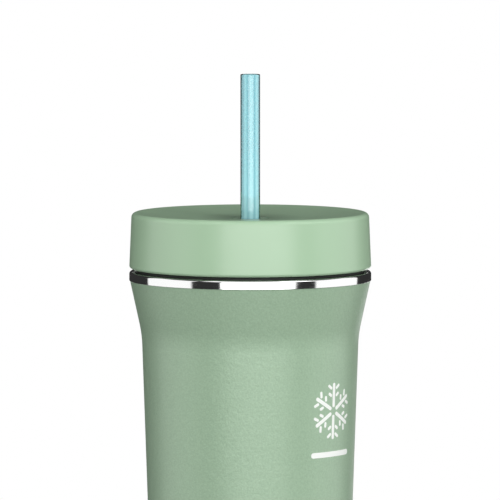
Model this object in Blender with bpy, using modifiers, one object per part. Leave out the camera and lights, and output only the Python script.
"""Insulated travel mug with a screw-in straw lid, modelled as the separate pieces that it is made of.

The origin is the centre of the base, where the mug stands, and +Z points up to the mouth. A double-walled
steel cup flares to a threaded mouth. The lid's plug screws into the mouth, and a straw slides in the lid's
grommet. Sizes are in metres.
"""

import math

import bmesh
import bpy
from mathutils import Vector

MM = 0.001
ROUND_STEPS = 48
SMALL_STEPS = 24
GAP = 0.3 * MM  # between two pieces that touch on the real object

# Cup, from outside
RIM_Z = 185.6 * MM
RIM_RADIUS = 49.3 * MM
RIM_WIDTH = 2.2 * MM
RIM_ROUNDING = 1.09 * MM
BARE_BAND_HEIGHT = 3.4 * MM
KINK_Z = 159.8 * MM
KINK_RADIUS = 44.2 * MM
KINK_FILLET = 49.0 * MM
FLARE = math.tan(math.radians(12.2))
TAPER = math.tan(math.radians(1.94))
OUTER_WALL = 0.5 * MM

# Base
BASE_SEAM_Z = 5.0 * MM
BASE_CORNER = 3.5 * MM
FOOT_INNER_RADIUS = 29.5 * MM
RECESS_RADIUS = 28.6 * MM
RECESS_Z = 2.0 * MM
DIMPLE_RADIUS = 6.0 * MM
DIMPLE_Z = 3.6 * MM
SEAL_HOLE_RADIUS = 0.9 * MM
COVER_RADIUS = 24.0 * MM
COVER_THICKNESS = 0.5 * MM

# Inner wall, and the vacuum between the walls
VACUUM_GAP = 2.6 * MM
LINER_WALL = 0.5 * MM
LINER_KINK_Z = 157.0 * MM
LINER_SEAM_Z = 20.0 * MM
FLOOR_Z = 8.6 * MM
FLOOR_CORNER = 8.0 * MM
FOIL_WALL = 0.2 * MM
FOIL_OFFSET = 0.4 * MM

# Threaded mouth, inside
MOUTH_RADIUS = 43.8 * MM
MOUTH_SEAT_Z = 180.8 * MM
MOUTH_SEAM_Z = 170.0 * MM

# Two-start thread. The plug's ridges lie under the mouth's ridges, and pull the lid down.
THREAD_STARTS = 2
THREAD_LEAD = 8.0 * MM
THREAD_DEPTH = 1.1 * MM
THREAD_ROOT_WIDTH = 2.0 * MM
THREAD_CREST_WIDTH = 1.0 * MM
THREAD_EMBED = 0.4 * MM
THREAD_STEP_DEG = 7.5
THREAD_FADE_DEG = 30
MOUTH_THREAD_Z = 173.2 * MM
MOUTH_THREAD_DEG = (0, 225)
PLUG_THREAD_Z = MOUTH_THREAD_Z - 1.7 * MM
PLUG_THREAD_DEG = (60, 240)

# Lid
LID_BOTTOM_Z = 186.75 * MM
LID_TOP_Z = 209.5 * MM
LID_DRAFT = math.tan(math.radians(2.4))
LID_BOTTOM_CORNER = 1.2 * MM
LID_TOP_CORNER = 2.0 * MM
LID_WALL = 2.4 * MM
LID_LEDGE = 0.6 * MM
DISH_DEPTH = 2.4 * MM
PLUG_RADIUS = 42.3 * MM
PLUG_WALL = 2.0 * MM
PLUG_BOTTOM_Z = 170.6 * MM
PLUG_FLANGE_RADIUS = RIM_RADIUS - LID_WALL - GAP
PLUG_FLANGE_HEIGHT = 1.8 * MM
GASKET_RADIUS = 46.4 * MM

# Straw and its grommet
STRAW_RADIUS = 4.0 * MM
STRAW_WALL = 0.8 * MM
STRAW_TOP_Z = 265.8 * MM
STRAW_FLOOR_GAP = 0.5 * MM
TUBE_RADIUS = 6.2 * MM
TUBE_BORE = 5.0 * MM
TUBE_TOP_Z = 203.2 * MM
GROMMET_LIP = 4.3 * MM
GROMMET_BORE = 4.7 * MM
GROMMET_BARREL = 6.0 * MM
GROMMET_FLANGE = 7.3 * MM
GROMMET_FLANGE_HEIGHT = 0.9 * MM
GROMMET_TOP_Z = 207.0 * MM


# --- The scene, the materials and the ways that a piece is made ---------------------------------------


def clear_scene():
    for obj in list(bpy.data.objects):
        bpy.data.objects.remove(obj)


def new_collection(name):
    collection = bpy.data.collections.new(name)
    bpy.context.scene.collection.children.link(collection)
    return collection


def new_material(name, color, roughness, metallic=0.0, alpha=1.0):
    material = bpy.data.materials.new(name)
    material.use_nodes = True
    shader = material.node_tree.nodes["Principled BSDF"]
    shader.inputs["Base Color"].default_value = (*color, 1.0)
    shader.inputs["Roughness"].default_value = roughness
    shader.inputs["Metallic"].default_value = metallic
    shader.inputs["Alpha"].default_value = alpha
    return material


def rounded(corners, steps=3):
    """Points of a closed outline from its corners, each (radius, height) or (radius, height, fillet)."""
    points = []
    for index, corner in enumerate(corners):
        here = Vector(corner[:2])
        fillet = corner[2] if len(corner) > 2 else 0.0
        if fillet == 0.0:
            points.append(here)
            continue
        back = (Vector(corners[index - 1][:2]) - here).normalized()
        ahead = (Vector(corners[(index + 1) % len(corners)][:2]) - here).normalized()
        half_angle = back.angle(ahead) / 2
        centre = here + (back + ahead).normalized() * fillet / math.sin(half_angle)
        first_arm = here + back * fillet / math.tan(half_angle) - centre
        last_arm = here + ahead * fillet / math.tan(half_angle) - centre
        sweep = -first_arm.angle_signed(last_arm)
        for step in range(steps + 1):
            angle = sweep * step / steps
            arm = Vector((
                first_arm.x * math.cos(angle) - first_arm.y * math.sin(angle),
                first_arm.x * math.sin(angle) + first_arm.y * math.cos(angle),
            ))
            points.append(centre + arm)
    return points


def turned(name, outline, material, collection, closed=True, steps=ROUND_STEPS):
    """A turned piece. Its outline runs down the outer side. An open outline starts and ends on the axis."""
    mesh = bpy.data.meshes.new(name)
    count = len(outline)
    edges = [(i, (i + 1) % count) for i in range(count if closed else count - 1)]
    mesh.from_pydata([(point[0], 0.0, point[1]) for point in outline], edges, [])
    mesh.materials.append(material)
    obj = bpy.data.objects.new(name, mesh)
    collection.objects.link(obj)
    screw = obj.modifiers.new("Turn", "SCREW")
    screw.axis = "Z"
    screw.steps = steps
    screw.render_steps = steps
    screw.use_merge_vertices = True
    screw.merge_threshold = 0.00001
    screw.use_smooth_shade = False
    return obj


def helical_ridge(name, root, crest, start_z, degrees, turn_deg, collection):
    """One ridge of a thread, from its root radius to its crest radius, fading in and out at its ends."""
    mesh_builder = bmesh.new()
    first_deg, last_deg = degrees
    count = round((last_deg - first_deg) / THREAD_STEP_DEG)
    embedded = root - math.copysign(THREAD_EMBED, crest - root)
    flank = (THREAD_ROOT_WIDTH - THREAD_CREST_WIDTH) / 2 / THREAD_DEPTH
    half_base = THREAD_ROOT_WIDTH / 2 + flank * THREAD_EMBED
    half_crest = THREAD_CREST_WIDTH / 2
    previous = None
    for step in range(count + 1):
        angle_deg = first_deg + step * THREAD_STEP_DEG
        to_end_deg = min(angle_deg - first_deg, last_deg - angle_deg)
        height = 0.2 + 0.8 * min(1.0, to_end_deg / THREAD_FADE_DEG)
        top = root + (crest - root) * height
        z = start_z + THREAD_LEAD * angle_deg / 360
        angle = math.radians(angle_deg + turn_deg)
        section = (
            (embedded, z - half_base),
            (top, z - half_crest),
            (top, z + half_crest),
            (embedded, z + half_base),
        )
        ring = [
            mesh_builder.verts.new((radius * math.cos(angle), radius * math.sin(angle), height_z))
            for radius, height_z in section
        ]
        if previous is None or step == count:
            mesh_builder.faces.new(ring)
        if previous is not None:
            for i, vert in enumerate(ring):
                after = (i + 1) % len(ring)
                mesh_builder.faces.new((previous[i], previous[after], ring[after], vert))
        previous = ring
    bmesh.ops.recalc_face_normals(mesh_builder, faces=mesh_builder.faces)
    mesh = bpy.data.meshes.new(name)
    mesh_builder.to_mesh(mesh)
    mesh_builder.free()
    ridge = bpy.data.objects.new(name, mesh)
    ridge.hide_render = True
    ridge.display_type = "WIRE"
    collection.objects.link(ridge)
    return ridge


def add_thread(obj, root, crest, start_z, degrees, helpers):
    """Join the thread's ridges, one for each start, on to a turned piece."""
    for start in range(THREAD_STARTS):
        turn_deg = 360 * start / THREAD_STARTS
        name = f"{obj.name}_ridge_{start + 1}"
        union = obj.modifiers.new(name, "BOOLEAN")
        union.operation = "UNION"
        union.solver = "EXACT"
        union.object = helical_ridge(name, root, crest, start_z, degrees, turn_deg, helpers)


# --- Shared shapes ------------------------------------------------------------------------------------


def body_radius(z):
    """The cup's outer radius below the kink, where it tapers."""
    return KINK_RADIUS - (KINK_Z - z) * TAPER


def liner_radius(z):
    """The liner's outer radius below the kink, one vacuum gap inside the outer wall."""
    return body_radius(z) - OUTER_WALL - VACUUM_GAP


LID_TOP_RADIUS = RIM_RADIUS - (LID_TOP_Z - LID_BOTTOM_Z) * LID_DRAFT
DISH_RADIUS = LID_TOP_RADIUS - LID_TOP_CORNER


def dish_z(radius):
    """The lid's dished top, a shallow parabola."""
    return LID_TOP_Z - DISH_DEPTH * (1 - (radius / DISH_RADIUS) ** 2)


# --- Cup ----------------------------------------------------------------------------------------------


def make_outer_shell(material, collection):
    top_z = RIM_Z - BARE_BAND_HEIGHT - GAP / 2
    top_radius = KINK_RADIUS + (top_z - KINK_Z) * FLARE
    outline = rounded(
        (
            (top_radius, top_z),
            (KINK_RADIUS, KINK_Z, KINK_FILLET),
            (body_radius(BASE_SEAM_Z), BASE_SEAM_Z),
            (body_radius(BASE_SEAM_Z) - OUTER_WALL, BASE_SEAM_Z),
            (KINK_RADIUS - OUTER_WALL, KINK_Z, KINK_FILLET + OUTER_WALL),
            (top_radius - OUTER_WALL, top_z),
        ),
        steps=5,
    )
    return turned("outer_shell", outline, material, collection)


def make_mouth_ring(material, collection, helpers):
    """The bare steel mouth: the rolled rim, the gasket's seat, and the threaded wall below it."""
    band_bottom_z = RIM_Z - BARE_BAND_HEIGHT + GAP / 2
    band_inner = RIM_RADIUS - 0.8 * MM
    rim_inner = RIM_RADIUS - RIM_WIDTH
    seat_top_z = MOUTH_SEAT_Z + rim_inner - MOUTH_RADIUS
    outline = rounded((
        (RIM_RADIUS, RIM_Z, RIM_ROUNDING),
        (RIM_RADIUS, band_bottom_z),
        (band_inner, band_bottom_z),
        (band_inner, seat_top_z - 0.5 * MM),
        (band_inner - 0.7 * MM, seat_top_z - 0.5 * MM),
        (MOUTH_RADIUS + LINER_WALL, MOUTH_SEAT_Z - 0.6 * MM, 1.0 * MM),
        (MOUTH_RADIUS + LINER_WALL, MOUTH_SEAM_Z),
        (MOUTH_RADIUS, MOUTH_SEAM_Z),
        (MOUTH_RADIUS, MOUTH_SEAT_Z, 1.0 * MM),
        (rim_inner, seat_top_z, 1.0 * MM),
        (rim_inner, RIM_Z, RIM_ROUNDING),
    ))
    ring = turned("mouth_ring", outline, material, collection)
    crest = MOUTH_RADIUS - THREAD_DEPTH
    add_thread(ring, MOUTH_RADIUS, crest, MOUTH_THREAD_Z, MOUTH_THREAD_DEG, helpers)
    return ring


def make_outer_base(material, collection):
    """The pressed bottom, with a foot ring, a recess for its cover, and a dimple for the vacuum seal."""
    top_z = BASE_SEAM_Z - GAP
    radius = body_radius(0.0)
    wall = OUTER_WALL
    outline = rounded((
        (body_radius(top_z), top_z),
        (radius, 0.0, BASE_CORNER),
        (FOOT_INNER_RADIUS, 0.0),
        (RECESS_RADIUS, RECESS_Z),
        (DIMPLE_RADIUS, RECESS_Z),
        (DIMPLE_RADIUS - 1.5 * MM, DIMPLE_Z),
        (SEAL_HOLE_RADIUS, DIMPLE_Z),
        (SEAL_HOLE_RADIUS, DIMPLE_Z + wall),
        (DIMPLE_RADIUS - 1.2 * MM, DIMPLE_Z + wall),
        (DIMPLE_RADIUS + 0.3 * MM, RECESS_Z + wall),
        (RECESS_RADIUS + 0.5 * MM, RECESS_Z + wall),
        (FOOT_INNER_RADIUS + 0.5 * MM, wall),
        (radius - wall, wall, BASE_CORNER - wall),
        (body_radius(top_z) - wall, top_z),
    ))
    return turned("outer_base", outline, material, collection)


def make_base_cover(material, collection):
    """The thin disc glued over the vacuum seal."""
    top_z = RECESS_Z - GAP
    bottom_z = top_z - COVER_THICKNESS
    chamfer = 0.15 * MM
    outline = (
        (0.0, top_z),
        (COVER_RADIUS, top_z),
        (COVER_RADIUS, bottom_z + chamfer),
        (COVER_RADIUS - chamfer, bottom_z),
        (0.0, bottom_z),
    )
    return turned("base_cover", outline, material, collection, closed=False)


def make_vacuum_seal(material, collection):
    """The bead of solder glass that closes the evacuation hole, in the dimple of the base."""
    top_z = DIMPLE_Z - GAP
    outline = (
        (0.0, top_z),
        (2.6 * MM, top_z),
        (3.2 * MM, top_z - 0.4 * MM),
        (2.9 * MM, top_z - 0.8 * MM),
        (1.6 * MM, top_z - 1.1 * MM),
        (0.0, top_z - 1.2 * MM),
    )
    return turned("vacuum_seal", outline, material, collection, closed=False, steps=SMALL_STEPS)


def make_inner_liner(material, collection):
    """The inner wall, which narrows under the mouth to the cup's straight part."""
    top_z = MOUTH_SEAM_Z - GAP
    neck_z = top_z - 1.2 * MM
    neck = MOUTH_RADIUS + LINER_WALL
    bottom_z = LINER_SEAM_Z + GAP
    outline = rounded((
        (neck, top_z),
        (neck, neck_z, 3.0 * MM),
        (liner_radius(LINER_KINK_Z), LINER_KINK_Z, 20.0 * MM),
        (liner_radius(bottom_z), bottom_z),
        (liner_radius(bottom_z) - LINER_WALL, bottom_z),
        (liner_radius(LINER_KINK_Z) - LINER_WALL, LINER_KINK_Z, 20.0 * MM),
        (neck - LINER_WALL, neck_z, 3.0 * MM),
        (neck - LINER_WALL, top_z),
    ))
    return turned("inner_liner", outline, material, collection)


def make_liner_base(material, collection):
    """The pressed floor of the inner vessel, welded to the liner at its seam."""
    outer = liner_radius(LINER_SEAM_Z)
    inner = outer - LINER_WALL
    under_z = FLOOR_Z - LINER_WALL
    inside = rounded(((0.0, FLOOR_Z), (inner, FLOOR_Z, FLOOR_CORNER - LINER_WALL), (inner, LINER_SEAM_Z)))
    outside = rounded(((outer, LINER_SEAM_Z), (outer, under_z, FLOOR_CORNER), (0.0, under_z)))
    return turned("liner_base", inside + outside, material, collection, closed=False)


def make_heat_shield(material, collection):
    """The copper foil wrapped round the liner, in the vacuum."""
    bottom_z = LINER_SEAM_Z + 4.0 * MM
    top_z = LINER_KINK_Z - 6.0 * MM
    outline = (
        (liner_radius(top_z) + FOIL_OFFSET + FOIL_WALL, top_z),
        (liner_radius(bottom_z) + FOIL_OFFSET + FOIL_WALL, bottom_z),
        (liner_radius(bottom_z) + FOIL_OFFSET, bottom_z),
        (liner_radius(top_z) + FOIL_OFFSET, top_z),
    )
    return turned("heat_shield_foil", outline, material, collection)


def make_getter(tray_material, pill_material, collection):
    """The gas-absorbing pill in its tray, under the inner floor, in the vacuum."""
    top_z = FLOOR_Z - LINER_WALL - GAP
    lip_z = top_z - 1.9 * MM
    tray_wall = 0.3 * MM
    tray_radius = 5.0 * MM
    pill_radius = tray_radius - tray_wall - GAP
    pill_top_z = top_z - tray_wall - GAP
    tray_outline = (
        (0.0, top_z),
        (tray_radius, top_z),
        (tray_radius, lip_z),
        (tray_radius - tray_wall, lip_z),
        (tray_radius - tray_wall, top_z - tray_wall),
        (0.0, top_z - tray_wall),
    )
    pill_outline = (
        (0.0, pill_top_z),
        (pill_radius, pill_top_z),
        (pill_radius, lip_z),
        (0.0, lip_z),
    )
    tray = turned("getter_tray", tray_outline, tray_material, collection, closed=False, steps=SMALL_STEPS)
    pill = turned("getter_pill", pill_outline, pill_material, collection, closed=False, steps=SMALL_STEPS)
    for piece in (tray, pill):
        piece.location.x = 16.0 * MM
    return tray, pill


# --- Lid ----------------------------------------------------------------------------------------------


def make_lid_shell(material, collection):
    """The lid's outside: the side, the rounded edge, and the dished top with a seat for the grommet."""
    skirt_inner = RIM_RADIUS - LID_WALL
    ledge_inner = skirt_inner - LID_LEDGE
    ledge_z = LID_BOTTOM_Z + PLUG_FLANGE_HEIGHT + GAP
    hole = GROMMET_BARREL + GAP
    seat = GROMMET_FLANGE + GAP
    seat_z = GROMMET_TOP_Z - GROMMET_FLANGE_HEIGHT - GAP
    outside = rounded(
        (
            (DISH_RADIUS - 1.0 * MM, LID_TOP_Z),
            (LID_TOP_RADIUS, LID_TOP_Z, LID_TOP_CORNER),
            (RIM_RADIUS, LID_BOTTOM_Z, LID_BOTTOM_CORNER),
            (skirt_inner, LID_BOTTOM_Z),
        ),
        steps=4,
    )[1:]
    ledge = [(skirt_inner, ledge_z), (ledge_inner, ledge_z)]
    under = [
        (radius, dish_z(radius) - LID_WALL)
        for radius in (ledge_inner, (ledge_inner + hole) / 2, hole)
    ]
    dish_steps = 5
    dish = [
        (radius, dish_z(radius))
        for radius in (seat + (DISH_RADIUS - seat) * step / dish_steps for step in range(dish_steps))
    ]
    outline = outside + ledge + under + [(hole, seat_z), (seat, seat_z)] + dish
    return turned("lid_shell", outline, material, collection)


def make_lid_plug(material, collection, helpers):
    """The threaded lower half of the lid, with a bead that keeps the gasket on and a tube for the straw."""
    flange_top_z = LID_BOTTOM_Z + PLUG_FLANGE_HEIGHT
    floor_top_z = PLUG_BOTTOM_Z + PLUG_WALL
    bead_z = MOUTH_SEAT_Z + GAP
    bead = PLUG_RADIUS + 0.9 * MM
    outline = rounded((
        (PLUG_FLANGE_RADIUS, flange_top_z),
        (PLUG_FLANGE_RADIUS, LID_BOTTOM_Z),
        (PLUG_RADIUS, LID_BOTTOM_Z),
        (PLUG_RADIUS, bead_z),
        (bead, bead_z - 0.2 * MM),
        (bead, bead_z - 0.6 * MM),
        (PLUG_RADIUS, bead_z - 0.9 * MM),
        (PLUG_RADIUS, PLUG_BOTTOM_Z, 1.0 * MM),
        (TUBE_BORE, PLUG_BOTTOM_Z),
        (TUBE_BORE, TUBE_TOP_Z),
        (TUBE_RADIUS, TUBE_TOP_Z),
        (TUBE_RADIUS, floor_top_z),
        (PLUG_RADIUS - PLUG_WALL, floor_top_z),
        (PLUG_RADIUS - PLUG_WALL, flange_top_z),
    ))
    plug = turned("lid_plug", outline, material, collection)
    crest = PLUG_RADIUS + THREAD_DEPTH
    add_thread(plug, PLUG_RADIUS, crest, PLUG_THREAD_Z, PLUG_THREAD_DEG, helpers)
    return plug


def make_lid_foam(material, collection):
    """The insulating disc in the plug's hollow, round the straw's tube."""
    top_z = LID_BOTTOM_Z + PLUG_FLANGE_HEIGHT
    bottom_z = PLUG_BOTTOM_Z + PLUG_WALL + GAP
    outer = PLUG_RADIUS - PLUG_WALL - GAP
    inner = TUBE_RADIUS + GAP
    outline = ((outer, top_z), (outer, bottom_z), (inner, bottom_z), (inner, top_z))
    return turned("lid_foam", outline, material, collection)


def make_lid_gasket(material, collection):
    """The soft ring under the lid's flange, bevelled to press on the seat inside the mouth."""
    inner = PLUG_RADIUS + GAP
    top_z = LID_BOTTOM_Z - GAP
    bottom_z = MOUTH_SEAT_Z + 2 * GAP
    bevel_start = MOUTH_RADIUS + 0.1 * MM
    bevel_top_z = bottom_z + GASKET_RADIUS - bevel_start
    outline = rounded(
        (
            (GASKET_RADIUS, top_z, 0.4 * MM),
            (GASKET_RADIUS, bevel_top_z, 0.4 * MM),
            (bevel_start, bottom_z, 0.4 * MM),
            (inner, bottom_z),
            (inner, top_z),
        ),
        steps=2,
    )
    return turned("lid_gasket", outline, material, collection)


def make_straw_grommet(material, collection):
    """The soft sleeve that grips the straw, clipped through the lid's top, with a lip at each end."""
    bottom_z = TUBE_TOP_Z + GAP
    lower_flange_z = bottom_z + 0.8 * MM
    lip = 0.5 * MM
    outline = (
        (GROMMET_FLANGE, GROMMET_TOP_Z),
        (GROMMET_FLANGE, GROMMET_TOP_Z - GROMMET_FLANGE_HEIGHT),
        (GROMMET_BARREL, GROMMET_TOP_Z - GROMMET_FLANGE_HEIGHT),
        (GROMMET_BARREL, lower_flange_z),
        (GROMMET_FLANGE, lower_flange_z),
        (GROMMET_FLANGE, bottom_z),
        (GROMMET_LIP, bottom_z),
        (GROMMET_LIP, bottom_z + lip),
        (GROMMET_BORE, bottom_z + 2 * lip),
        (GROMMET_BORE, GROMMET_TOP_Z - 2 * lip),
        (GROMMET_LIP, GROMMET_TOP_Z - lip),
        (GROMMET_LIP, GROMMET_TOP_Z),
    )
    return turned("straw_grommet", outline, material, collection, steps=SMALL_STEPS)


def make_straw(material, collection):
    """A plain tube with rounded ends."""
    bottom_z = FLOOR_Z + STRAW_FLOOR_GAP
    inner = STRAW_RADIUS - STRAW_WALL
    rounding = STRAW_WALL * 0.4
    outline = rounded(
        (
            (STRAW_RADIUS, STRAW_TOP_Z, rounding),
            (STRAW_RADIUS, bottom_z, rounding),
            (inner, bottom_z, rounding),
            (inner, STRAW_TOP_Z, rounding),
        ),
        steps=2,
    )
    return turned("straw", outline, material, collection, steps=SMALL_STEPS)


# --- The whole mug ------------------------------------------------------------------------------------


def main():
    clear_scene()
    parts = new_collection("insulated_travel_mug")
    helpers = new_collection("helpers")

    coat = new_material("sage_powder_coat", (0.36, 0.47, 0.35), 0.55)
    polished = new_material("polished_steel", (0.80, 0.80, 0.79), 0.08, metallic=1.0)
    satin = new_material("satin_steel", (0.62, 0.62, 0.61), 0.32, metallic=1.0)
    copper = new_material("copper_foil", (0.80, 0.42, 0.28), 0.25, metallic=1.0)
    glass_bead = new_material("seal_glass", (0.25, 0.22, 0.18), 0.30)
    getter = new_material("getter_alloy", (0.28, 0.27, 0.26), 0.70)
    lid_plastic = new_material("sage_lid_plastic", (0.42, 0.56, 0.41), 0.38)
    foam = new_material("white_foam", (0.86, 0.86, 0.84), 0.85)
    dark_silicone = new_material("dark_silicone", (0.06, 0.08, 0.06), 0.55)
    green_silicone = new_material("sage_silicone", (0.34, 0.45, 0.33), 0.55)
    straw_plastic = new_material("aqua_straw_plastic", (0.45, 0.78, 0.82), 0.10, alpha=0.55)

    make_outer_shell(coat, parts)
    make_mouth_ring(polished, parts, helpers)
    make_outer_base(coat, parts)
    make_base_cover(satin, parts)
    make_vacuum_seal(glass_bead, parts)
    make_inner_liner(satin, parts)
    make_liner_base(satin, parts)
    make_heat_shield(copper, parts)
    make_getter(satin, getter, parts)
    make_lid_shell(lid_plastic, parts)
    make_lid_plug(lid_plastic, parts, helpers)
    make_lid_foam(foam, parts)
    make_lid_gasket(dark_silicone, parts)
    make_straw_grommet(green_silicone, parts)
    make_straw(straw_plastic, parts)


main()
